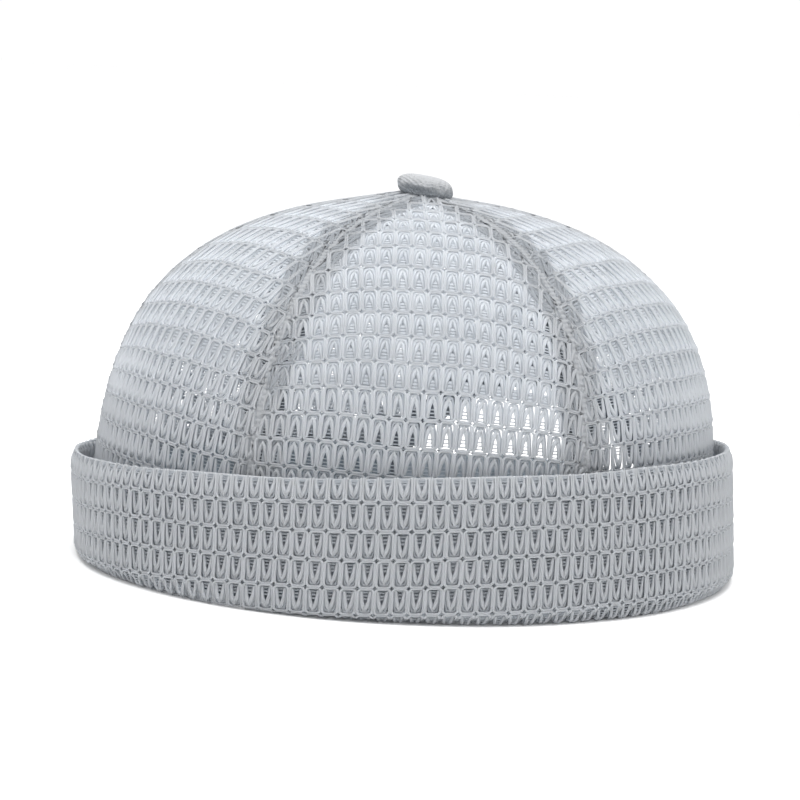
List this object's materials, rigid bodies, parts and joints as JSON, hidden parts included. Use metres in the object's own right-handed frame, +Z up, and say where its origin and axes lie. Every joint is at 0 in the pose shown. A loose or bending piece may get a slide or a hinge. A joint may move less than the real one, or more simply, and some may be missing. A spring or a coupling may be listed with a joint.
{
  "type": "brimless cap",
  "caption": "Brimless cap of open mesh cloth with a panelled dome crown, a covered top button, a turned-up cuff, an inner sweatband and an arched back opening with a strap.",
  "frame": {"origin": "middle of the box that the cap fills, on the surface that its rim stands on", "axes": "-Y towards the front of the cap, +X towards the wearer's left, +Z up through the button"},
  "size_m": [0.1988, 0.2044, 0.1166],
  "materials": {
    "mesh_cloth": "open mesh knit of pale blue-grey yarn",
    "tape": "narrow woven tape, finely ribbed, blue-grey",
    "ribbed_band": "ribbed woven band, blue-grey",
    "plain_cloth": "close plain cloth, pale blue-grey"
  },
  "bodies": {
    "root": {"crown_panel_front_left": "mesh_cloth", "crown_panel_side_left": "mesh_cloth", "crown_panel_back_left": "mesh_cloth", "crown_panel_back_right": "mesh_cloth", "crown_panel_side_right": "mesh_cloth", "crown_panel_front_right": "mesh_cloth", "seam_tape_front": "tape", "seam_tape_front_left": "tape", "seam_tape_back_left": "tape", "seam_tape_back": "tape", "seam_tape_back_right": "tape", "seam_tape_front_right": "tape", "opening_tape": "tape", "cuff": "mesh_cloth", "sweatband": "ribbed_band", "back_strap": "plain_cloth", "strap_keeper": "plain_cloth", "top_button": "plain_cloth"}
  },
  "joints": []
}
